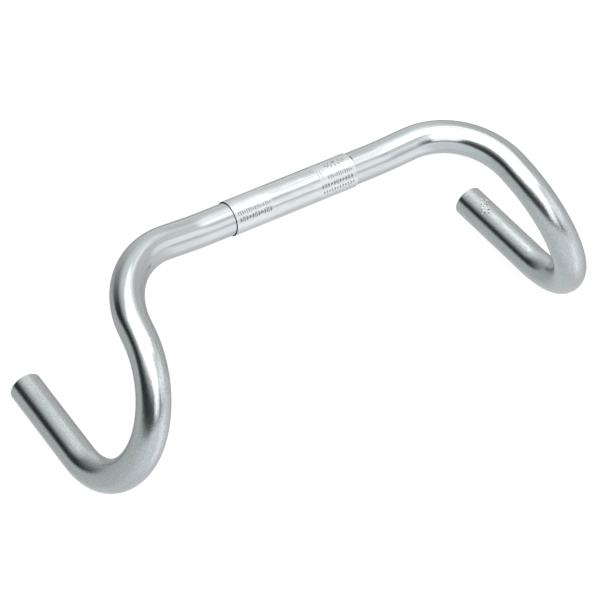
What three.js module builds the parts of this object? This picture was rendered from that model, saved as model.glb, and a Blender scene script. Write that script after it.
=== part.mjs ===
// Flared drop handlebar for a bicycle: one bent aluminium tube, and the sleeve that the stem clamps.
//
// Millimetres, +Z up, the rider looks along -Y. The bar lies along X, and the origin is the centre
// of the clamp. The ends of the drops are level, so the bar also stands on its two drops.
//
// The tube is drawn the way a bender makes it, as straight runs and arcs that follow one another
// from the clamp to the end of one drop. The other half is the mirror image.

import * as THREE from 'three';

// ---------------------------------------------------------------- driving dimensions

const TUBE_DIAMETER = 23.8; // takes brake lever clamps and tape
const TUBE_WALL = 1.8;

const SLEEVE_DIAMETER = 25.4; // the size of the stem's clamp
const SLEEVE_LENGTH = 103;
const SLEEVE_CHAMFER = 0.3;
const SLEEVE_FIT_GAP = 0.2; // between the tube and the sleeve, on the radius

const TOP_LENGTH = 69; // straight top, from the centre of the clamp
const RISE = { radius: 126, degrees: 7.5, aboveAhead: 70 }; // lifts the tops beside the clamp
const SHOULDER_LENGTH = 18.5; // straight between the rise and the forward bend
const FORWARD_BEND = { radius: 59, degrees: 82.5, aboveAhead: -16.5 };
const RAMP_LENGTH = 7; // straight that the brake lever's clamp sits on
const FLARE = 19.5; // degrees that the hook's plane leans outwards
const HOOK_UPPER = { radius: 65, degrees: 58 };
const HOOK_MIDDLE = { radius: 55, degrees: 54 };
const HOOK_LOWER_RADIUS = 51; // this arc ends where the tube is level
const DROP_LENGTH = 75;

const SIDES_OF_TUBE = 28;
const SIDES_OF_SLEEVE = 64;
const DEGREES_PER_STEP = 7.5;

const ALUMINIUM = 0xc8cacc;

// ---------------------------------------------------------------- the centreline

/** The direction straight ahead of the rider, turned up by some degrees. */
function ahead(degreesUp) {
  const turn = THREE.MathUtils.degToRad(degreesUp);
  return new THREE.Vector3(0, -Math.cos(turn), Math.sin(turn));
}

/** The part of a direction that is square to a tangent, at unit length. */
function squareTo(direction, tangent) {
  return direction.clone().addScaledVector(tangent, -direction.dot(tangent)).normalize();
}

/** Adds the end of a straight run to the stations. */
function addStraight(stations, length) {
  const { point, tangent } = stations.at(-1);
  stations.push({ point: point.clone().addScaledVector(tangent, length), tangent: tangent.clone() });
}

/** Adds an arc that starts to turn towards a direction, and returns where its end turns towards. */
function addArc(stations, radius, angle, towards) {
  const start = stations.at(-1);
  const inward = squareTo(towards, start.tangent);
  const steps = Math.ceil(angle / THREE.MathUtils.degToRad(DEGREES_PER_STEP) - 1e-6);
  for (let step = 1; step <= steps; step += 1) {
    const turned = (angle * step) / steps;
    const point = start.point.clone();
    point.addScaledVector(start.tangent, radius * Math.sin(turned));
    point.addScaledVector(inward, radius * (1 - Math.cos(turned)));
    const tangent = start.tangent.clone().multiplyScalar(Math.cos(turned));
    tangent.addScaledVector(inward, Math.sin(turned));
    stations.push({ point, tangent });
  }
  return inward.multiplyScalar(Math.cos(angle)).addScaledVector(start.tangent, -Math.sin(angle));
}

/** Adds one of the bends named above, in degrees. */
function addBend(stations, bend, towards) {
  return addArc(stations, bend.radius, THREE.MathUtils.degToRad(bend.degrees), towards);
}

/** The direction that the hook first turns towards: down, leaning outwards by the flare. */
function hookDirection(tangent) {
  const down = squareTo(new THREE.Vector3(0, 0, -1), tangent);
  const outward = new THREE.Vector3().crossVectors(tangent, down);
  const lean = THREE.MathUtils.degToRad(FLARE);
  return down.multiplyScalar(Math.cos(lean)).addScaledVector(outward, Math.sin(lean));
}

/** The stations of one half, from the centre of the clamp to the end of the drop at +X. */
function halfCentreline() {
  const stations = [{ point: new THREE.Vector3(), tangent: new THREE.Vector3(1, 0, 0) }];
  addStraight(stations, TOP_LENGTH);
  addBend(stations, RISE, ahead(RISE.aboveAhead));
  addStraight(stations, SHOULDER_LENGTH);
  addBend(stations, FORWARD_BEND, ahead(FORWARD_BEND.aboveAhead));
  addStraight(stations, RAMP_LENGTH);

  let inward = hookDirection(stations.at(-1).tangent);
  inward = addBend(stations, HOOK_UPPER, inward);
  inward = addBend(stations, HOOK_MIDDLE, inward);
  const angleUntilLevel = Math.atan2(-stations.at(-1).tangent.z, inward.z);
  addArc(stations, HOOK_LOWER_RADIUS, angleUntilLevel, inward);
  addStraight(stations, DROP_LENGTH);
  return stations;
}

/** A station of one half at its place in the other half, with the tangent still running to +X. */
function mirrored({ point, tangent }) {
  return {
    point: new THREE.Vector3(-point.x, point.y, point.z),
    tangent: new THREE.Vector3(tangent.x, -tangent.y, -tangent.z),
  };
}

/** A curve whose parameter goes evenly from station to station, so that a sweep stops at each. */
class StationCurve extends THREE.Curve {
  constructor(stations) {
    super();
    this.stations = stations;
  }

  stationAt(t) {
    return this.stations[Math.round(t * (this.stations.length - 1))];
  }

  getPoint(t, target = new THREE.Vector3()) {
    return target.copy(this.stationAt(t).point);
  }

  getTangent(t, target = new THREE.Vector3()) {
    return target.copy(this.stationAt(t).tangent);
  }

  getUtoTmapping(u) {
    return u;
  }
}

// ---------------------------------------------------------------- the two pieces

/** The ring that is swept along the bar. */
function tubeSection() {
  const section = new THREE.Shape();
  section.absarc(0, 0, TUBE_DIAMETER / 2, 0, 2 * Math.PI);
  const bore = new THREE.Path();
  bore.absarc(0, 0, TUBE_DIAMETER / 2 - TUBE_WALL, 0, 2 * Math.PI, true);
  section.holes.push(bore);
  return section;
}

/** The bent tube, open at the square-cut end of each drop. */
function barTube() {
  const half = halfCentreline();
  const stations = [...half.slice(1).reverse().map(mirrored), ...half];
  return new THREE.ExtrudeGeometry(tubeSection(), {
    curveSegments: SIDES_OF_TUBE / 2, // three.js draws an arc with two sides to a segment
    steps: stations.length - 1,
    extrudePath: new StationCurve(stations),
  });
}

/** The sleeve around the middle of the tube, turned about X, with its outer edges chamfered. */
function centreSleeve() {
  const bore = TUBE_DIAMETER / 2 + SLEEVE_FIT_GAP;
  const outside = SLEEVE_DIAMETER / 2;
  const end = SLEEVE_LENGTH / 2;
  const profile = [
    new THREE.Vector2(bore, -end),
    new THREE.Vector2(outside - SLEEVE_CHAMFER, -end),
    new THREE.Vector2(outside, -end + SLEEVE_CHAMFER),
    new THREE.Vector2(outside, end - SLEEVE_CHAMFER),
    new THREE.Vector2(outside - SLEEVE_CHAMFER, end),
    new THREE.Vector2(bore, end),
    new THREE.Vector2(bore, -end),
  ];
  return new THREE.LatheGeometry(profile, SIDES_OF_SLEEVE).rotateZ(-Math.PI / 2);
}

/** A named mesh with its own bare metal material. */
function metalPiece(name, geometry, roughness) {
  const material = new THREE.MeshStandardMaterial({ color: ALUMINIUM, roughness, metalness: 1 });
  const mesh = new THREE.Mesh(geometry, material);
  mesh.name = name;
  return mesh;
}

const handlebar = new THREE.Group();
handlebar.add(metalPiece('bar_tube', barTube(), 0.35));
handlebar.add(metalPiece('centre_sleeve', centreSleeve(), 0.25));

export default handlebar;
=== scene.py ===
"""The looks of a flared drop handlebar: a bent aluminium tube and its engraved clamp sleeve.

Metres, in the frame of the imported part: +X to the rider's left, -Y ahead, +Z up, with the centre
of the clamp at the origin. Both pieces are rebuilt here as fine surfaces on the part's own
centreline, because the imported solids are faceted.
"""

import math
from collections import namedtuple

import bpy
import numpy as np
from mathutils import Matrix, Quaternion, Vector
from mathutils.geometry import delaunay_2d_cdt


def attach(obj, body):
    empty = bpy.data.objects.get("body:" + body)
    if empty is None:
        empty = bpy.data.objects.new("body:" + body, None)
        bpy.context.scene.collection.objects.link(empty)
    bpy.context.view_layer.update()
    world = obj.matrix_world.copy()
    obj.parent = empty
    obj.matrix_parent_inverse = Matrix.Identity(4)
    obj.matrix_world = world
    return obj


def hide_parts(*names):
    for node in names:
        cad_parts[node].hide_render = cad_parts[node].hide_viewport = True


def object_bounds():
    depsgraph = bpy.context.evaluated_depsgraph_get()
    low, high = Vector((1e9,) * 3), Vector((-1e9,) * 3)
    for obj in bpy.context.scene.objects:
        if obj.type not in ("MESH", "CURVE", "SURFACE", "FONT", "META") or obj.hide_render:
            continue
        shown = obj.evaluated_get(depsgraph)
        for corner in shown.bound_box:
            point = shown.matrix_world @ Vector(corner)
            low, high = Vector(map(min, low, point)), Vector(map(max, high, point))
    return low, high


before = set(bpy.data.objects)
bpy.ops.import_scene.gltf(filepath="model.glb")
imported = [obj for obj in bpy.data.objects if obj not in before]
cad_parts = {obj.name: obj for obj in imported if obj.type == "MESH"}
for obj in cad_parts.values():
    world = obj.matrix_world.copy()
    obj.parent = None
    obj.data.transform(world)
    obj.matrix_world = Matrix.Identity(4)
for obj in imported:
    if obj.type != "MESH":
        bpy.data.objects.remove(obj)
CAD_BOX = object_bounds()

MM = 0.001

# ---------------------------------------------------------------- the part's dimensions

TUBE_RADIUS = 11.9 * MM
BORE_RADIUS = 10.1 * MM
SLEEVE_RADIUS = 12.7 * MM
SLEEVE_BORE_RADIUS = 12.1 * MM
SLEEVE_HALF = 51.5 * MM
TUBE_EDGE = 0.55 * MM
SLEEVE_EDGE = 0.28 * MM

TOP_LENGTH = 69 * MM
RISE_RADIUS, RISE_TURN, RISE_ABOVE_AHEAD = 126 * MM, 7.5, 70
SHOULDER_LENGTH = 18.5 * MM
FORWARD_RADIUS, FORWARD_TURN, FORWARD_ABOVE_AHEAD = 59 * MM, 82.5, -16.5
RAMP_LENGTH = 7 * MM
FLARE = 19.5
HOOK_UPPER_RADIUS, HOOK_UPPER_TURN = 65 * MM, 58
HOOK_MIDDLE_RADIUS, HOOK_MIDDLE_TURN = 55 * MM, 54
HOOK_LOWER_RADIUS = 51 * MM
DROP_LENGTH = 75 * MM

# ---------------------------------------------------------------- how fine the surfaces are

TUBE_SIDES = 96
SLEEVE_SIDES = 108
STEP_ON_BEND = 2 * MM
STEP_ON_STRAIGHT = 4 * MM
STEP_ON_DROP = 2.5 * MM
STEP_IN_BORE = 6 * MM
SLEEVE_STATIONS = 69
SLEEVE_BORE_STATIONS = 18
EDGE_STEPS = 4
DISC_CORNERS = 10

# ---------------------------------------------------------------- camera

AIM_FROM_MIDDLE = Vector((-0.0190, -0.0029, 0.0032))
CAMERA_DISTANCE = 2.0684
CAMERA_AZIMUTH, CAMERA_ELEVATION, CAMERA_ROLL = -40.78, 44.70, 8.15
LENS, SENSOR = 177.74, 36.0


def from_aim(azimuth, elevation):
    """The direction towards a viewer at an azimuth, 0 being ahead of the bar, and an elevation."""
    a, e = math.radians(azimuth), math.radians(elevation)
    return Vector((math.sin(a) * math.cos(e), -math.cos(a) * math.cos(e), math.sin(e)))


def add_object(name, data):
    thing = bpy.data.objects.new(name, data)
    bpy.context.scene.collection.objects.link(thing)
    return thing


def add_camera(middle):
    lens = bpy.data.cameras.new("camera")
    lens.lens = LENS
    lens.sensor_width = SENSOR
    lens.clip_start, lens.clip_end = 0.05, 50
    camera = add_object("camera", lens)
    back = from_aim(CAMERA_AZIMUTH, CAMERA_ELEVATION)
    camera.location = middle + AIM_FROM_MIDDLE + CAMERA_DISTANCE * back
    level = (-back).to_track_quat("-Z", "Y")
    camera.rotation_mode = "QUATERNION"
    camera.rotation_quaternion = level @ Quaternion((0, 0, 1), math.radians(CAMERA_ROLL))
    bpy.context.scene.camera = camera


# ---------------------------------------------------------------- shader nodes

def grey(level):
    return (level, level, level, 1)


class Nodes:
    """A short way to write a node tree: every value given to a node is a constant or a socket.

    An input goes by its name, or by its number after an i, such as i0.
    """

    def __init__(self, tree):
        self.tree = tree
        tree.nodes.clear()

    def add(self, kind, settings=None, **inputs):
        made = self.tree.nodes.new("ShaderNode" + kind)
        for name, value in (settings or {}).items():
            setattr(made, name, value)
        for name, value in inputs.items():
            self.feed(made, name.replace("_", " "), value)
        return made

    def feed(self, made, name, value):
        numbered = name[0] == "i" and name[1:].isdigit()
        socket = made.inputs[int(name[1:]) if numbered else name]
        if isinstance(value, bpy.types.NodeSocket):
            self.tree.links.new(value, socket)
        else:
            socket.default_value = value

    def math(self, operation, *values):
        made = self.tree.nodes.new("ShaderNodeMath")
        made.operation = operation
        for index, value in enumerate(values):
            self.feed(made, f"i{index}", value)
        return made.outputs[0]

    def smooth(self, value, start, end, low=0.0, high=1.0):
        """low before start and high after end, with a smooth step between them."""
        made = self.add("MapRange", {"interpolation_type": "SMOOTHSTEP"}, Value=value)
        for index, number in enumerate((start, end, low, high), 1):
            made.inputs[index].default_value = number
        return made.outputs[0]

    def by_angle(self, turn, angle, fades, near, far):
        """near at one angle and far away from it, fading between two angles on each side of it."""
        away = self.math("ABSOLUTE", self.math("SUBTRACT", turn, math.radians(angle)))
        start, end = (math.radians(degrees) for degrees in fades)
        return self.smooth(away, start, end, near, far)

    def mix(self, share, first, second):
        made = self.add("Mix", {"data_type": "RGBA"})
        self.feed(made, "i0", share)
        self.feed(made, "i6", first)
        self.feed(made, "i7", second)
        return made.outputs[2]

    def ramp(self, share, stops):
        """A colour by a share. Each stop is a share and its colour, or one number for a grey."""
        made = self.add("ValToRGB", Fac=share)
        elements = made.color_ramp.elements
        elements[0].position, elements[1].position = stops[0][0], stops[-1][0]
        for place, _ in stops[1:-1]:
            elements.new(place)
        for element, (_, colour) in zip(elements, stops):
            red, green, blue = np.broadcast_to(colour, 3)
            element.color = (red, green, blue, 1)
        return made.outputs[0]


# ---------------------------------------------------------------- floor, lights and surround

FLOOR_SIZE = 9.0
FLOOR_ALBEDO = 0.08
FLOOR_GLOW = 0.95
BACKDROP = 0.98

# The lights overhead: where each one's middle is, its sides, how far it is turned, and its radiance.
CEILING = {
    "softbox": (Vector((-0.75, 0.06, 3.0)), (3.9, 2.7), 8, 1.5),
    "softbox_front": (Vector((-0.75, -1.95, 3.0)), (2.6, 1.5), 0, 1.5),
    "softbox_wing": (Vector((1.60, 0.0, 3.0)), (1.06, 2.4), 0, 0.72),
}

# The panels round the bar: azimuth, elevation, half the angles they span, distance and radiance.
PANELS = {
    "front_panel": (-11, 33, (14, 18), 5.0, 1.4),
    "right_bounce": (40, 32, (25, 13), 1.1, 0.32),
    "left_bounce": (124, 53, (14, 6), 1.08, 0.34),
}

# How bright the studio is by azimuth, 0 ahead and 90 at +X: the sheet below the bar, which is even
# straight below, the walls low down, and the walls half-way up. The heights over which one turns
# into the next are sines for the sheet and degrees for the walls.
SHEET = ((-180, .48), (-138, .60), (-100, .67), (-40, .86), (4, .93), (28, 1.27), (40, 1.06),
         (54, .90), (72, .78), (100, .56), (122, .48), (139, .46), (180, .48))
SHEET_BELOW = 0.75
SHEET_BELOW_FADES = (-0.95, -0.60)
WALLS_LOW = ((-180, .52), (-158, .25), (-138, .03), (-85, .03), (-55, .06), (-24, .12), (13, .04),
             (24, .92), (32, .97), (45, .96), (75, .68), (130, .64), (147, .85), (156, .83), (174, .60),
             (180, .52))
WALLS_HIGH = ((-180, .94), (-137, .65), (-112, .70), (-90, .96), (-62, .70), (-14, .72), (13, 1.16),
              (33, .72), (50, .93), (70, .86), (86, .82), (98, .60), (112, .57), (124, .73),
              (142, 1.03), (160, .92), (180, .94))
WALLS_BLEND = (24, 50)

# How high the sheet's far edge is by azimuth, as a sine above EDGE_BASE: it sweeps up ahead of the
# bar. Then the heights from that edge over which the sheet fades into the walls.
EDGE = ((-180, .05), (-138, .08), (-127, .15), (-118, .27), (-109, .09), (-90, .15), (-72, .17),
        (-50, .20), (-27, .30), (-8, .34), (20, .36), (45, .345), (70, .30), (100, .23), (130, .145),
        (160, .08), (180, .05))
EDGE_BASE = -0.20
SHEET_FADES = (-0.08, 0.11)

# A soft shade near that edge: its strength, its height from the edge and its width, its azimuth, and
# the angles to each side over which it fades.
EDGE_SHADE, EDGE_SHADE_HEIGHT, EDGE_SHADE_WIDTH = 0.30, -0.04, 0.28
EDGE_SHADE_AZIMUTH, EDGE_SHADE_FADES = 28, (4, 30)

# The colour of the surround by azimuth: bluer ahead, and a little warmer towards +X.
TINTS = ((-180, (0.97, 1.0, 1.0)), (-120, (0.97, 1.0, 0.98)), (-60, (0.96, 1.0, 1.02)),
         (0, (1.0, 1.0, 1.04)), (50, (1.02, 1.0, 1.02)), (120, (1.02, 1.0, 0.985)),
         (180, (0.97, 1.0, 1.0)))


def add_floor(middle, height):
    """A pale sheet that glows a little, so that it stays white and takes only a faint shadow."""
    half = FLOOR_SIZE / 2
    mesh = bpy.data.meshes.new("floor")
    corners = [(middle.x + x * half, middle.y + y * half, height)
               for x, y in ((-1, -1), (1, -1), (1, 1), (-1, 1))]
    mesh.from_pydata(corners, [], [(0, 1, 2, 3)])
    material = bpy.data.materials.new("pale_floor")
    material.use_nodes = True
    nodes = Nodes(material.node_tree)
    shader = nodes.add("BsdfPrincipled", Roughness=0.9)
    shader.inputs["Base Color"].default_value = grey(FLOOR_ALBEDO)
    shader.inputs["Specular IOR Level"].default_value = 0.0
    shader.inputs["Emission Color"].default_value = grey(1)
    shader.inputs["Emission Strength"].default_value = FLOOR_GLOW
    nodes.add("OutputMaterial", Surface=shader.outputs[0])
    mesh.materials.append(material)
    floor = add_object("floor", mesh)
    floor.visible_glossy = False


def add_area_light(name, sides, radiance):
    """An even sheet of light; a sheet of A square metres and radiance L sends out pi A L watts."""
    light = bpy.data.lights.new(name, "AREA")
    light.shape = "RECTANGLE"
    light.size, light.size_y = sides
    light.energy = math.pi * sides[0] * sides[1] * radiance
    return add_object(name, light)


def add_lights(middle):
    for name, (centre, sides, turn, radiance) in CEILING.items():
        light = add_area_light(name, sides, radiance)
        light.location = centre + Vector((middle.x, middle.y, 0))
        light.rotation_euler.z = math.radians(turn)
    for name, (azimuth, elevation, spread, distance, radiance) in PANELS.items():
        sides = [2 * distance * math.tan(math.radians(angle)) for angle in spread]
        light = add_area_light(name, sides, radiance)
        back = from_aim(azimuth, elevation)
        light.location = middle + distance * back
        light.rotation_mode = "QUATERNION"
        light.rotation_quaternion = back.to_track_quat("Z", "Y")


def add_surround():
    """The studio as a background: walls that are pale towards +X and dark towards -X, and the sheet
    below, whose far edge sweeps up ahead of the bar and has a soft shade near it at one azimuth.
    """
    world = bpy.data.worlds.new("studio")
    bpy.context.scene.world = world
    world.use_nodes = True
    nodes = Nodes(world.node_tree)
    direction = nodes.add("TexCoord").outputs["Generated"]
    split = nodes.add("SeparateXYZ", Vector=direction)
    ahead_part = nodes.math("MULTIPLY", split.outputs["Y"], -1.0)
    azimuth = nodes.math("ARCTAN2", split.outputs["X"], ahead_part)
    share = nodes.math("MULTIPLY_ADD", azimuth, 0.5 / math.pi, 0.5)
    low, high, sheet, edge, tint = (
        nodes.ramp(share, [(angle / 360 + 0.5, colour) for angle, colour in stops])
        for stops in (WALLS_LOW, WALLS_HIGH, SHEET, EDGE, TINTS))
    height = split.outputs["Z"]
    blend_from, blend_to = (math.sin(math.radians(angle)) for angle in WALLS_BLEND)
    walls = nodes.mix(nodes.smooth(height, blend_from, blend_to), low, high)
    sheet = nodes.mix(nodes.smooth(height, *SHEET_BELOW_FADES), grey(SHEET_BELOW), sheet)
    above_edge = nodes.math("SUBTRACT", nodes.math("SUBTRACT", height, EDGE_BASE), edge)

    from_edge = nodes.math("ABSOLUTE", nodes.math("SUBTRACT", above_edge, EDGE_SHADE_HEIGHT))
    from_side = nodes.by_angle(azimuth, EDGE_SHADE_AZIMUTH, EDGE_SHADE_FADES, 0.0, EDGE_SHADE_WIDTH)
    from_shade = nodes.math("ADD", from_edge, from_side)
    shade = nodes.smooth(from_shade, 0.0, EDGE_SHADE_WIDTH, 1 - EDGE_SHADE, 1.0)

    around = nodes.mix(nodes.smooth(above_edge, *SHEET_FADES), sheet, walls)
    tinted = nodes.add("VectorMath", {"operation": "MULTIPLY"}, i0=around, i1=tint).outputs[0]
    light = nodes.add("Background", Color=tinted, Strength=shade)
    plain = nodes.add("Background", Color=grey(BACKDROP))
    seen = nodes.add("LightPath").outputs["Is Camera Ray"]
    both = nodes.add("MixShader", Fac=seen, i1=light.outputs[0], i2=plain.outputs[0])
    nodes.add("OutputWorld", Surface=both.outputs[0])


# ---------------------------------------------------------------- the centreline

Run = namedtuple("Run", "start end point tangent up side inward radius")


def unit(vector):
    return vector / np.linalg.norm(vector)


def ahead(degrees_up):
    """The direction straight ahead of the rider, turned up by some degrees."""
    turn = math.radians(degrees_up)
    return np.array([0.0, -math.cos(turn), math.sin(turn)])


def spin(vector, axis, angle):
    """One vector turned about an axis by each of an array of angles."""
    along = axis * np.dot(vector, axis)
    across = vector - along
    return along + np.cos(angle)[:, None] * across + np.sin(angle)[:, None] * np.cross(axis, vector)


class Centreline:
    """The half at +X as straight runs and arcs from the clamp's centre, and its mirror image.

    At each place it gives a point, the tangent, and two directions square to it. At the clamp they
    are up and ahead, and they follow the bends with no twist.
    """

    def __init__(self):
        self.runs = []
        self.length = 0.0
        self.point = np.zeros(3)
        self.tangent = np.array([1.0, 0.0, 0.0])
        self.up = np.array([0.0, 0.0, 1.0])
        self.side = np.array([0.0, -1.0, 0.0])

    def add(self, length, inward=None, radius=None):
        run = Run(self.length, self.length + length, self.point, self.tangent, self.up, self.side,
                  inward, radius)
        self.runs.append(run)
        self.length += length
        at_end = np.array([self.length])
        self.point, self.tangent, self.up, self.side = (v[0] for v in self.on_run(run, at_end))

    def add_arc(self, radius, angle, towards):
        """Turns towards a direction, and returns where the end of the arc turns towards."""
        inward = unit(towards - np.dot(towards, self.tangent) * self.tangent)
        axis = np.cross(self.tangent, inward)
        self.add(radius * angle, inward, radius)
        return spin(inward, axis, np.array([angle]))[0]

    @staticmethod
    def on_run(run, along):
        """The point and the three directions at each distance, all of them on one run."""
        went = along - run.start
        if run.radius is None:
            point = run.point + went[:, None] * run.tangent
            return point, *(np.tile(v, (len(along), 1)) for v in (run.tangent, run.up, run.side))
        angle = went / run.radius
        axis = np.cross(run.tangent, run.inward)
        centre = run.point + run.radius * run.inward
        point = centre + run.radius * spin(-run.inward, axis, angle)
        return point, *(spin(v, axis, angle) for v in (run.tangent, run.up, run.side))

    def at(self, along):
        """The same for any distances from the clamp's centre, negative in the half at -X."""
        along = np.asarray(along, float)
        places = np.zeros((4, len(along), 3))
        for run in self.runs:
            here = (np.abs(along) >= run.start) & (np.abs(along) <= run.end)
            places[:, here] = self.on_run(run, np.abs(along[here]))
        left_out = along < 0
        places[:, left_out] *= np.array([-1.0, 1.0, 1.0])
        places[1, left_out] *= -1
        return places


def bar_centreline():
    line = Centreline()
    line.add(TOP_LENGTH)
    line.add_arc(RISE_RADIUS, math.radians(RISE_TURN), ahead(RISE_ABOVE_AHEAD))
    line.add(SHOULDER_LENGTH)
    line.add_arc(FORWARD_RADIUS, math.radians(FORWARD_TURN), ahead(FORWARD_ABOVE_AHEAD))
    line.add(RAMP_LENGTH)

    down = np.array([0.0, 0.0, -1.0])
    down = unit(down - np.dot(down, line.tangent) * line.tangent)
    outward = np.cross(line.tangent, down)
    lean = math.radians(FLARE)
    inward = math.cos(lean) * down + math.sin(lean) * outward
    inward = line.add_arc(HOOK_UPPER_RADIUS, math.radians(HOOK_UPPER_TURN), inward)
    inward = line.add_arc(HOOK_MIDDLE_RADIUS, math.radians(HOOK_MIDDLE_TURN), inward)
    until_level = math.atan2(-line.tangent[2], inward[2])
    line.add_arc(HOOK_LOWER_RADIUS, until_level, inward)
    line.add(DROP_LENGTH)
    return line


BAR = bar_centreline()
BAR_HALF = BAR.length


def positions(along, angle, radius):
    point, _, up, side = BAR.at(along)
    return point + radius[:, None] * (np.cos(angle)[:, None] * up + np.sin(angle)[:, None] * side)


def directions(along, angle, outward, forward):
    """Unit vectors made of a share of the radius and a share of the tangent at each place."""
    _, tangent, up, side = BAR.at(along)
    radial = np.cos(angle)[:, None] * up + np.sin(angle)[:, None] * side
    return outward * radial + forward * tangent


def split_run(run, step, end):
    stop = min(run.end, end)
    count = max(1, math.ceil((stop - run.start) / step))
    return run.start + (stop - run.start) * np.arange(1, count + 1) / count


def both_halves(half):
    """Distances from the clamp's centre, starting with 0, and their opposites, in order."""
    half = np.array(half)
    return np.concatenate([-half[:0:-1], half])


# ---------------------------------------------------------------- building a skin

class Skin:
    """A closed surface around the bar's centreline, under construction.

    Every point is given on the straightened bar: its distance along, its angle from up towards
    ahead, and its radius. A face gets a normal at each corner, so that a coarse mesh still shines
    like a turned surface. engraved is 1 on the floor of a cut mark and 0 elsewhere.
    """

    def __init__(self, sides):
        self.angles = np.arange(sides) * 2 * math.pi / sides
        self.places = []
        self.engraved = []
        self.faces = []
        self.normals = []
        self.materials = []
        self.count = 0

    def add_points(self, along, angle, radius, engraved=0.0):
        along, angle, radius, engraved = np.broadcast_arrays(along, angle, radius, engraved)
        self.places.append(np.stack([along, angle, radius], axis=-1).reshape(-1, 3))
        self.engraved.append(engraved.reshape(-1))
        first = self.count
        self.count += along.size
        return np.arange(first, self.count).reshape(along.shape)

    def add_faces(self, corners, normals, material=0):
        """Faces of one size: corners is faces by corners, and normals has three numbers for each."""
        self.faces.extend(corners.tolist())
        self.normals.append(normals.reshape(-1, 3))
        self.materials.extend([material] * len(corners))

    def add_bands(self, rings, normals, material=0, skip=None):
        """Quads between closed rings in order. skip marks those that something else fills."""
        quads, ends = (
            np.stack([grid[:-1], np.roll(grid[:-1], -1, 1), np.roll(grid[1:], -1, 1), grid[1:]], 2)
            for grid in (rings, normals))
        keep = np.ones(quads.shape[:2], bool) if skip is None else ~skip
        self.add_faces(quads[keep], ends[keep], material)

    def add_rings(self, alongs, radii, outwards, forwards):
        rows = [np.broadcast_to(v, len(alongs)) for v in (alongs, radii, outwards, forwards)]
        alongs, radii, outwards, forwards = (np.repeat(v, len(self.angles)) for v in rows)
        angles = np.tile(self.angles, len(rows[0]))
        shape = (len(rows[0]), len(self.angles))
        rings = self.add_points(alongs, angles, radii).reshape(shape)
        normals = directions(alongs, angles, outwards[:, None], forwards[:, None]).reshape(*shape, 3)
        return rings, normals

    def close(self, rings, normals, half, outer, inner, edge, bore_alongs):
        """From the last outer ring over a rounded end, back through the bore, to the first ring."""
        rows = []
        for along, radius, first in ((half - edge, outer - edge, 0), (half - edge, inner + edge, 90),
                                     (edge - half, inner + edge, 180), (edge - half, outer - edge, 270)):
            for step in range(EDGE_STEPS + 1):
                turn = math.radians(first + 90 * step / EDGE_STEPS)
                rows.append((along + edge * math.sin(turn), radius + edge * math.cos(turn),
                             math.cos(turn), math.sin(turn)))
            if first == 90:
                enters_bore = len(rows) - 2
                rows.extend((s, inner, -1.0, 0.0) for s in bore_alongs[::-1])
            if first == 180:
                leaves_bore = len(rows) - 2 - EDGE_STEPS
        made, made_normals = self.add_rings(*np.array(rows[1:-1]).T)
        rings = np.concatenate([rings[-1:], made, rings[:1]])
        normals = np.concatenate([normals[-1:], made_normals, normals[:1]])
        self.add_bands(rings[:enters_bore + 2], normals[:enters_bore + 2])
        inside = slice(enters_bore + 1, leaves_bore + 2)
        self.add_bands(rings[inside], normals[inside], 1)
        self.add_bands(rings[leaves_bore + 1:], normals[leaves_bore + 1:])

    def finish(self, name, replaced, materials):
        """Makes the object and rides it on the body, in place of the CAD node."""
        place = np.concatenate(self.places)
        used = np.unique(np.concatenate([np.ravel(f) for f in self.faces]))
        renumbered = np.full(len(place), -1)
        renumbered[used] = np.arange(len(used))
        place = place[used]
        mesh = bpy.data.meshes.new(name)
        faces = [[int(renumbered[corner]) for corner in face] for face in self.faces]
        mesh.from_pydata(positions(*place.T).tolist(), [], faces)
        mesh.shade_smooth()
        mesh.polygons.foreach_set("material_index", self.materials)
        mesh.normals_split_custom_set(np.concatenate(self.normals).tolist())
        along, angle, radius = place.T
        straight = np.stack([radius * np.cos(angle), radius * np.sin(angle), along], axis=1)
        layer = mesh.attributes.new("straightened", "FLOAT_VECTOR", "POINT")
        layer.data.foreach_set("vector", straight.astype(np.float32).ravel())
        layer = mesh.attributes.new("engraved", "FLOAT", "POINT")
        layer.data.foreach_set("value", np.concatenate(self.engraved)[used].astype(np.float32))
        for material in materials:
            mesh.materials.append(material)
        piece = add_object(name, mesh)
        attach(piece, "root")
        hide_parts(replaced)


# ---------------------------------------------------------------- cut marks

# How deep the marks are, and how far their walls slope in.
CUT_DEPTH, CUT_WALL = 0.14 * MM, 0.09 * MM
STAMP_DEPTH, STAMP_WALL = 0.20 * MM, 0.15 * MM

# How far a surface point stays from the box round a mark, and how near two points, in millimetres,
# are taken as one.
ROOM_AT_MARK = 0.25 * MM
SAME_POINT = 1e-5

Window = namedtuple("Window", "first_along last_along first_side last_side marks depth wall")


def bar_mark(u, v, length, width, turn=0.0):
    """A straight cut, its length across the bar unless it is turned."""
    corners = [(-width, -length), (width, -length), (width, length), (-width, length)]
    c, s = math.cos(math.radians(turn)), math.sin(math.radians(turn))
    return [(u + (a * c - b * s) / 2, v + (a * s + b * c) / 2) for a, b in corners]


def lozenge_mark(u, v, length, width):
    return [(u - width / 2, v), (u, v - length / 2), (u + width / 2, v), (u, v + length / 2)]


def disc_mark(u, v, size):
    turns = [math.radians(360 * k / DISC_CORNERS) for k in range(DISC_CORNERS)]
    return [(u + size / 2 * math.cos(t), v + size / 2 * math.sin(t)) for t in turns]


def chevron_mark(u, v, length, tall, width):
    """An arrow head that points along the bar."""
    back, front, half = -length / 2, length / 2, tall / 2
    corners = [(back, -half), (back + width, -half), (front, 0), (back + width, half), (back, half),
               (front - width, 0)]
    return [(u + a, v + b) for a, b in corners]


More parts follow.
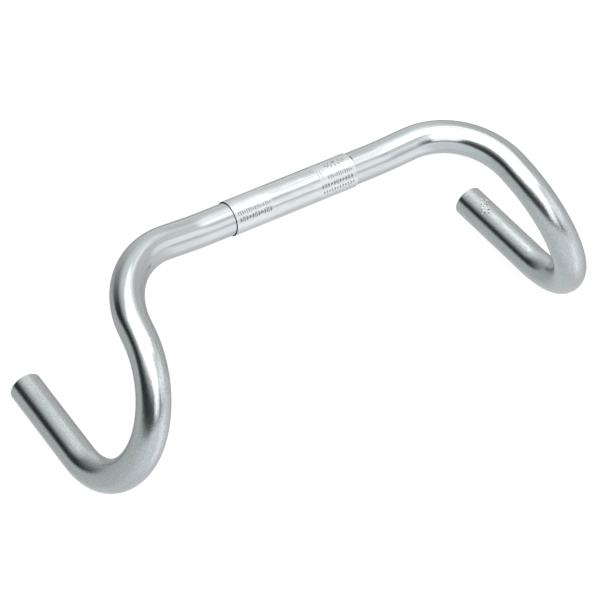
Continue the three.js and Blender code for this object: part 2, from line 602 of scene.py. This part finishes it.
def inset(outline, distance):
    """The same outline, counter-clockwise, with every edge moved inwards."""
    points = np.array(outline)
    edges = np.roll(points, -1, 0) - points
    edges /= np.linalg.norm(edges, axis=1, keepdims=True)
    inwards = np.stack([-edges[:, 1], edges[:, 0]], 1)
    before = np.roll(inwards, 1, 0)
    return points + distance * (before + inwards) / (1 + (before * inwards).sum(1))[:, None]


def is_clear(point, outlines, room):
    """Whether a point stays a distance away from the box around every outline."""
    for outline in outlines:
        low, high = np.min(outline, 0) - room, np.max(outline, 0) + room
        if (point > low).all() and (point < high).all():
            return False
    return True


def engrave(skin, rings, alongs, radius, window):
    """Fills a window in the outer surface with triangles, cut down inside each of its marks."""
    sides = len(skin.angles)
    across = 2 * math.pi / sides * radius
    middle = np.array([(alongs[window.first_along] + alongs[window.last_along]) / 2,
                       (window.first_side + window.last_side) / 2 * across])
    i0, i1, j0, j1 = window[:4]
    border = [(i, j0) for i in range(i0, i1)] + [(i1, j) for j in range(j0, j1)]
    border += [(i, j1) for i in range(i1, i0, -1)] + [(i0, j) for j in range(j1, j0, -1)]
    inner = [(i, j) for i in range(i0 + 1, i1) for j in range(j0 + 1, j1)]
    outlines = [np.array(mark) + middle for mark in window.marks]
    flat = {cell: np.array([alongs[cell[0]], cell[1] * across]) for cell in border + inner}
    inner = [cell for cell in inner if is_clear(flat[cell], outlines, ROOM_AT_MARK)]

    points = [flat[cell] for cell in border + inner]
    numbers = [rings[i, j % sides] for i, j in border + inner]
    faces = [list(range(len(border)))]
    for outline in outlines:
        floor = inset(outline, window.wall)
        for loop, depth, engraved in ((outline, 0.0, 0.0), (floor, window.depth, 1.0)):
            faces.append(list(range(len(points), len(points) + len(loop))))
            points.extend(loop)
            numbers.extend(skin.add_points(loop[:, 0], loop[:, 1] / radius, radius - depth, engraved))

    flat_points = [Vector(point) / MM for point in points]
    _, _, triangles, came_from, _, lies_in = delaunay_2d_cdt(flat_points, [], faces, 1, SAME_POINT)
    place = np.concatenate(skin.places)
    for triangle, inside in zip(triangles, lies_in):
        corners = np.array([numbers[came_from[corner][0]] for corner in reversed(triangle)])
        # The faces are the window, then an outline and a floor for each mark, so the last one that
        # holds a triangle on a wall is an outline, which has an odd number.
        on_wall = max(inside) % 2 == 1
        if on_wall:
            a, b, c = positions(*place[corners].T)
            normals = np.tile(unit(np.cross(b - a, c - a)), (3, 1))
        else:
            along, angle, _ = place[corners].T
            normals = directions(along, angle, 1.0, 0.0)
        skin.add_faces(corners[None], normals)


def add_outside(skin, alongs, radius, windows):
    """The outer surface, and the windows in it."""
    rings, normals = skin.add_rings(alongs, radius, 1.0, 0.0)
    skip = np.zeros((len(alongs) - 1, len(skin.angles)), bool)
    for window in windows:
        columns = np.arange(window.first_side, window.last_side) % len(skin.angles)
        skip[window.first_along:window.last_along, columns] = True
    skin.add_bands(rings, normals, 0, skip)
    for window in windows:
        engrave(skin, rings, alongs, radius, window)
    return rings, normals


def window_at(alongs, sides, along_range, angle_range, marks, depth=CUT_DEPTH, wall=CUT_WALL):
    """A window whose edges lie on the nearest rings and columns."""
    first, last = (int(np.abs(alongs - value).argmin()) for value in along_range)
    low, high = (round(angle / 360 * sides) for angle in angle_range)
    return Window(first, last, low, high, marks, depth, wall)


# ---------------------------------------------------------------- the metals

# Distances from the clamp's centre: the tube is buffed as far as the first and satin from the
# second, and the sleeve is polished up to the third and blasted beyond it.
BUFFED_TO, SATIN_FROM = 100 * MM, 230 * MM
POLISHED_HALF, POLISH_FADES = 20.5 * MM, 0.15 * MM

# Pairs of colours, darker and paler, between which a metal varies.
BUFFED = ((0.545, 0.583, 0.588, 1), (0.603, 0.643, 0.648, 1))
SPECKLES = (grey(0.90), grey(1.10))
BORE = ((0.30, 0.31, 0.32, 1), (0.44, 0.45, 0.46, 1))
POLISHED = ((0.57, 0.605, 0.61, 1), (0.68, 0.72, 0.725, 1))
BLASTED = ((0.64, 0.67, 0.675, 1), (0.74, 0.775, 0.78, 1))

# The floors of the sleeve's cut marks, darker than the metal round them: painted shade in the cuts.
SHADED_CUT_FLOOR = (0.33, 0.35, 0.36, 1)
STAMP_FLOOR, STAMP_SOIL = (0.95, 0.96, 0.96, 1), (0.10, 0.105, 0.11, 1)

# How rough the tube and the sleeve are where they are smoothest, and what each finish adds.
TUBE_ROUGHNESS, SATIN_ADDS, PATCHES_ADD = 0.115, 0.05, 0.05
SLEEVE_ROUGHNESS, BLASTING_ADDS, WEAR_ADDS = 0.10, 0.15, 0.06
CUTTING_ADDS = 0.25

# A line of painted shade in the corner at each end of the sleeve, a dark colour standing in for the
# shadow where sleeve and tube meet: its colour, where it fades out on the tube and in on the sleeve,
# how much fainter it is on top, where the highlight falls, and how much wider it is in another place.
# The two places are angles from up towards ahead, with the angles from them over which they fade.
JOINT_SHADE = (0.05, 0.052, 0.055, 1)
JOINT_SHADE_ON_TUBE = (SLEEVE_HALF + 0.15 * MM, SLEEVE_HALF + 0.6 * MM)
JOINT_SHADE_ON_SLEEVE = (SLEEVE_HALF - 0.12 * MM, SLEEVE_HALF)
FAINT_AT, FAINT_FADES, FAINT_BY = 24, (5, 26), 0.55
WIDE_AT, WIDE_FADES, WIDE_BY = 2, (6, 16), 0.8 * MM


def metal(name):
    """A new material, its nodes, its metal shader and the straightened coordinates."""
    material = bpy.data.materials.new(name)
    material.use_nodes = True
    nodes = Nodes(material.node_tree)
    shader = nodes.add("BsdfPrincipled", Metallic=1.0)
    nodes.add("OutputMaterial", Surface=shader.outputs[0])
    straight = nodes.add("Attribute", {"attribute_name": "straightened"}).outputs["Vector"]
    return material, nodes, shader, straight


def noise(nodes, straight, across, along, detail=2.0):
    """Noise whose features have one size round the tube and another along it, in metres."""
    place = nodes.add("Mapping", Vector=straight, Scale=(1 / across, 1 / across, 1 / along))
    return nodes.add("TexNoise", Vector=place.outputs[0], Scale=1.0, Detail=detail).outputs[0]


def blend(nodes, first, first_share, second, second_share):
    return nodes.math("ADD", nodes.math("MULTIPLY", first, first_share),
                      nodes.math("MULTIPLY", second, second_share))


def bump(nodes, shader, *layers):
    """Height layers, each a value and its depth in metres, one on top of the other."""
    normal = None
    for height, depth in layers:
        made = nodes.add("Bump", Height=height, Distance=depth, Strength=1.0)
        if normal is not None:
            nodes.feed(made, "Normal", normal)
        normal = made.outputs[0]
    nodes.feed(shader, "Normal", normal)


def outside_joint_shade(nodes, straight):
    """How free the tube is of the painted shade at the sleeve's ends, from 0 to 1.

    The painted shade is fainter on top, where the highlight falls, and it is wider in one spot at the
    +X end.
    """
    split = nodes.add("SeparateXYZ", Vector=straight)
    turn = nodes.math("ARCTAN2", split.outputs["Y"], split.outputs["X"])
    faint = nodes.by_angle(turn, FAINT_AT, FAINT_FADES, FAINT_BY, 0.0)
    wide = nodes.by_angle(turn, WIDE_AT, WIDE_FADES, WIDE_BY, 0.0)
    at_plus_x = nodes.smooth(split.outputs["Z"], 0.0, 1 * MM)
    along = nodes.math("ABSOLUTE", split.outputs["Z"])
    along = nodes.math("SUBTRACT", along, nodes.math("MULTIPLY", wide, at_plus_x))
    return nodes.math("MAXIMUM", faint, nodes.smooth(along, *JOINT_SHADE_ON_TUBE))


def tube_metal():
    """Aluminium tube: buffed along its length on the tops, and a fine satin grain on the hooks."""
    material, nodes, shader, straight = metal("drawn_aluminium")
    along = nodes.math("ABSOLUTE", nodes.add("SeparateXYZ", Vector=straight).outputs["Z"])
    satin = nodes.smooth(along, BUFFED_TO, SATIN_FROM)
    streaks = noise(nodes, straight, 0.7 * MM, 60 * MM, 3.0)
    clouds = noise(nodes, straight, 9 * MM, 30 * MM)
    mottle = noise(nodes, straight, 1.0 * MM, 1.3 * MM, 3.0)
    grain = noise(nodes, straight, 0.28 * MM, 0.34 * MM, 1.0)
    patches = blend(nodes, streaks, 0.6, clouds, 0.4)

    plain = nodes.mix(nodes.smooth(patches, 0.3, 0.7), *BUFFED)
    speckled = nodes.mix(nodes.smooth(mottle, 0.35, 0.65), *SPECKLES)
    speckled = nodes.mix(nodes.math("MULTIPLY", satin, 0.8), grey(1), speckled)
    plain = nodes.add("VectorMath", {"operation": "MULTIPLY"}, i0=plain, i1=speckled).outputs[0]
    # Painted shade: a dark line on the tube beside each end of the sleeve, where the two meet.
    plain = nodes.mix(outside_joint_shade(nodes, straight), JOINT_SHADE, plain)
    engraved = nodes.add("Attribute", {"attribute_name": "engraved"}).outputs["Fac"]
    soiled = nodes.smooth(noise(nodes, straight, 1.8 * MM, 1.8 * MM, 1.0), 0.46, 0.54)
    floor = nodes.mix(soiled, STAMP_FLOOR, STAMP_SOIL)
    nodes.feed(shader, "Base Color", nodes.mix(engraved, plain, floor))

    rough = nodes.math("MULTIPLY_ADD", satin, SATIN_ADDS, TUBE_ROUGHNESS)
    rough = nodes.math("MULTIPLY_ADD", patches, PATCHES_ADD, rough)
    nodes.feed(shader, "Roughness", nodes.math("MULTIPLY_ADD", engraved, CUTTING_ADDS, rough))
    mottled = nodes.math("MULTIPLY", mottle, satin)
    fine = nodes.math("MULTIPLY", grain, satin)
    bump(nodes, shader, (streaks, 0.018 * MM), (mottled, 0.03 * MM), (fine, 0.03 * MM))
    return material


def bore_metal():
    """The inside of the tube, as drawn: duller, with long scratches from the drawing plug."""
    material, nodes, shader, straight = metal("bore_aluminium")
    scratches = noise(nodes, straight, 0.9 * MM, 90 * MM, 4.0)
    nodes.feed(shader, "Base Color", nodes.mix(scratches, *BORE))
    nodes.feed(shader, "Roughness", nodes.smooth(scratches, 0.2, 0.8, 0.38, 0.55))
    bump(nodes, shader, (scratches, 0.05 * MM))
    return material


def sleeve_metal():
    """Aluminium sleeve: polished middle, finely blasted ends, and dull cut marks with painted shade on
    their floors.
    """
    material, nodes, shader, straight = metal("turned_aluminium")
    along = nodes.math("ABSOLUTE", nodes.add("SeparateXYZ", Vector=straight).outputs["Z"])
    frosted = nodes.smooth(along, POLISHED_HALF - POLISH_FADES, POLISHED_HALF + POLISH_FADES)
    engraved = nodes.add("Attribute", {"attribute_name": "engraved"}).outputs["Fac"]
    rings = noise(nodes, straight, 40 * MM, 0.25 * MM, 3.0)
    streaks = noise(nodes, straight, 0.9 * MM, 50 * MM, 2.0)
    scuffs = noise(nodes, straight, 1.6 * MM, 7 * MM, 3.0)
    grain = noise(nodes, straight, 0.22 * MM, 0.22 * MM, 1.0)
    waves = noise(nodes, straight, 6 * MM, 16 * MM, 1.0)
    wear = blend(nodes, scuffs, 0.5, streaks, 0.5)

    tone = nodes.smooth(wear, 0.3, 0.7)
    plain = nodes.mix(frosted, nodes.mix(tone, *POLISHED), nodes.mix(tone, *BLASTED))
    # Painted shade: the same dark line on the sleeve's edge at each end.
    plain = nodes.mix(nodes.smooth(along, *JOINT_SHADE_ON_SLEEVE), plain, JOINT_SHADE)
    # The cut marks' floors take a dark colour: painted shade in the cuts.
    nodes.feed(shader, "Base Color", nodes.mix(engraved, plain, SHADED_CUT_FLOOR))

    rough = nodes.math("MULTIPLY_ADD", wear, WEAR_ADDS, SLEEVE_ROUGHNESS)
    rough = nodes.math("MULTIPLY_ADD", frosted, BLASTING_ADDS, rough)
    nodes.feed(shader, "Roughness", nodes.math("MULTIPLY_ADD", engraved, CUTTING_ADDS, rough))
    fine = nodes.math("MULTIPLY", grain, frosted)
    bump(nodes, shader, (waves, 0.25 * MM), (streaks, 0.015 * MM), (scuffs, 0.008 * MM),
         (rings, 0.003 * MM), (fine, 0.01 * MM))
    return material


# ---------------------------------------------------------------- the pieces

# The stamp: its distances from the tube's end, its angles round the tube from the top, how its
# rows are turned, the steps along and between them, and its bars and dots.
STAMP_FROM_END = (10 * MM, 30 * MM)
STAMP_FROM_TOP = (-50, 34)
STAMP_TURN = 35
STAMP_ROWS, STAMP_COLUMNS = 2, 6
STAMP_STEP, STAMP_ROW_STEP = 2.7 * MM, 3.9 * MM
STAMP_BAR_LENGTH, STAMP_BAR_WIDTH, STAMP_DOT = 2.8 * MM, 1.0 * MM, 1.9 * MM


def make_tube():
    half = [0.0]
    for run in BAR.runs:
        step = STEP_ON_STRAIGHT if run.radius is None else STEP_ON_BEND
        if run is BAR.runs[-1]:
            step = STEP_ON_DROP
        half.extend(split_run(run, step, BAR_HALF - TUBE_EDGE))
    alongs = both_halves(half)
    bore = [0.0]
    for run in BAR.runs:
        bore.extend(split_run(run, STEP_IN_BORE, BAR_HALF - 2 * TUBE_EDGE))
    skin = Skin(TUBE_SIDES)
    stamp = stamp_window(alongs)
    rings, normals = add_outside(skin, alongs, TUBE_RADIUS, [stamp])
    skin.close(rings, normals, BAR_HALF, TUBE_RADIUS, BORE_RADIUS, TUBE_EDGE, both_halves(bore))
    skin.finish("bar_tube_drawn", "bar_tube", [tube_metal(), bore_metal()])


def stamp_window(alongs):
    """A small stamp of bars and dots on top of the drop at +X, in rows set askew."""
    _, _, up, side = (v[0] for v in BAR.at([BAR_HALF]))
    top = math.degrees(math.atan2(side[2], up[2]))
    c, s = math.cos(math.radians(STAMP_TURN)), math.sin(math.radians(STAMP_TURN))
    marks = []
    for row in range(STAMP_ROWS):
        for column in range(STAMP_COLUMNS):
            a = (column - (STAMP_COLUMNS - 1) / 2) * STAMP_STEP
            b = (row - (STAMP_ROWS - 1) / 2) * STAMP_ROW_STEP
            u, v = a * c - b * s, a * s + b * c
            if (2 * row + column) % 4 == 2:
                marks.append(disc_mark(u, v, STAMP_DOT))
            else:
                marks.append(bar_mark(u, v, STAMP_BAR_LENGTH, STAMP_BAR_WIDTH, STAMP_TURN))
    angles = [top + angle for angle in STAMP_FROM_TOP]
    ends = [BAR_HALF - distance for distance in reversed(STAMP_FROM_END)]
    return window_at(alongs, TUBE_SIDES, ends, angles, marks, STAMP_DEPTH, STAMP_WALL)


def bold_row(count, pitch, tall):
    """Lozenges, with a pair of bars or a dot between each two."""
    marks = []
    for k in range(count):
        u = (k - (count - 1) / 2) * pitch
        if k % 2 == 0:
            marks.append(lozenge_mark(u, 0, tall, 0.8 * pitch))
        elif k % 4 == 1:
            marks.append(bar_mark(u - 0.25 * pitch, 0, 0.85 * tall, 0.3 * pitch))
            marks.append(bar_mark(u + 0.25 * pitch, 0, 0.85 * tall, 0.3 * pitch))
        else:
            marks.append(disc_mark(u, 0, 0.55 * tall))
    return marks


def fine_row(count, pitch, tall):
    """Short slanted ticks with a dot after every third."""
    marks = []
    for k in range(count):
        u = (k - (count - 1) / 2) * pitch
        if k % 4 == 3:
            marks.append(disc_mark(u, 0, 0.5 * tall))
        else:
            marks.append(bar_mark(u, 0, tall, 0.45 * pitch, 14 - 14 * (k % 4)))
    return marks


def chevron_row(count, pitch, tall):
    """Arrow heads with a dot after every second."""
    marks = []
    for k in range(count):
        u = (k - (count - 1) / 2) * pitch
        if k % 3 == 2:
            marks.append(disc_mark(u, 0, 0.6 * tall))
        else:
            marks.append(chevron_mark(u, 0, 0.8 * pitch, tall, 0.4 * pitch))
    return marks


def sunburst():
    """Half an ellipse of rays round a lozenge, with a dot at each side and a line below."""
    rays, half_wide, tall, middle = 9, 8.0 * MM, 2.9 * MM, -1.1 * MM
    ray_length, ray_width = 2.3 * MM, 0.62 * MM
    lozenge_tall, lozenge_wide = 2.4 * MM, 3.6 * MM
    dots_out, dots_up, dot = 4.3 * MM, -1.3 * MM, 1.5 * MM
    line_up, line_thick, line_long = -2.85 * MM, 0.45 * MM, 16 * MM

    marks = [lozenge_mark(0, middle, lozenge_tall, lozenge_wide)]
    marks.append(bar_mark(0, line_up, line_thick, line_long))
    for k in range(rays):
        turn = math.radians(180 * k / (rays - 1))
        u, v = half_wide * math.cos(turn), tall * math.sin(turn) + middle
        marks.append(bar_mark(u, v, ray_length, ray_width, math.degrees(turn) - 90))
    marks += [disc_mark(side * dots_out, dots_up, dot) for side in (-1, 1)]
    return marks


def two_lines(apart, length, width):
    """Two lines across, one beside the other."""
    return [bar_mark(side * apart / 2, 0, length, width) for side in (-1, 1)]


def make_sleeve():
    alongs = np.linspace(SLEEVE_EDGE - SLEEVE_HALF, SLEEVE_HALF - SLEEVE_EDGE, SLEEVE_STATIONS)

    def window(along, angles, marks):
        return window_at(alongs, SLEEVE_SIDES, [a * MM for a in along], angles, marks)

    # Each window's distances along the sleeve, its angles from up towards ahead, and its marks.
    windows = [
        window((-50, -21), (30, 46), fine_row(16, 1.75 * MM, 2.7 * MM)),
        window((-50, -21), (47, 73), bold_row(11, 2.5 * MM, 4.4 * MM)),
        window((26.5, 48.5), (-20, 12), sunburst()),
        window((20, 26), (3, 30), two_lines(2.2 * MM, 5.2 * MM, 0.4 * MM)),
        window((26, 50), (31, 47), fine_row(12, 1.75 * MM, 2.6 * MM)),
        window((19, 48), (50, 70), bold_row(11, 2.5 * MM, 3.5 * MM)),
        window((20, 49), (73, 90), chevron_row(12, 2.3 * MM, 2.7 * MM)),
    ]
    bore_half = SLEEVE_HALF - 2 * SLEEVE_EDGE
    bore = np.linspace(-bore_half, bore_half, SLEEVE_BORE_STATIONS)
    skin = Skin(SLEEVE_SIDES)
    rings, normals = add_outside(skin, alongs, SLEEVE_RADIUS, windows)
    skin.close(rings, normals, SLEEVE_HALF, SLEEVE_RADIUS, SLEEVE_BORE_RADIUS, SLEEVE_EDGE, bore)
    skin.finish("centre_sleeve_turned", "centre_sleeve", [sleeve_metal()] * 2)


# ---------------------------------------------------------------- the whole scene

def main():
    low, high = CAD_BOX
    middle = (low + high) / 2
    add_camera(middle)
    add_floor(middle, low.z)
    add_lights(middle)
    add_surround()
    bpy.context.scene.view_settings.view_transform = "Standard"
    make_tube()
    make_sleeve()


main()
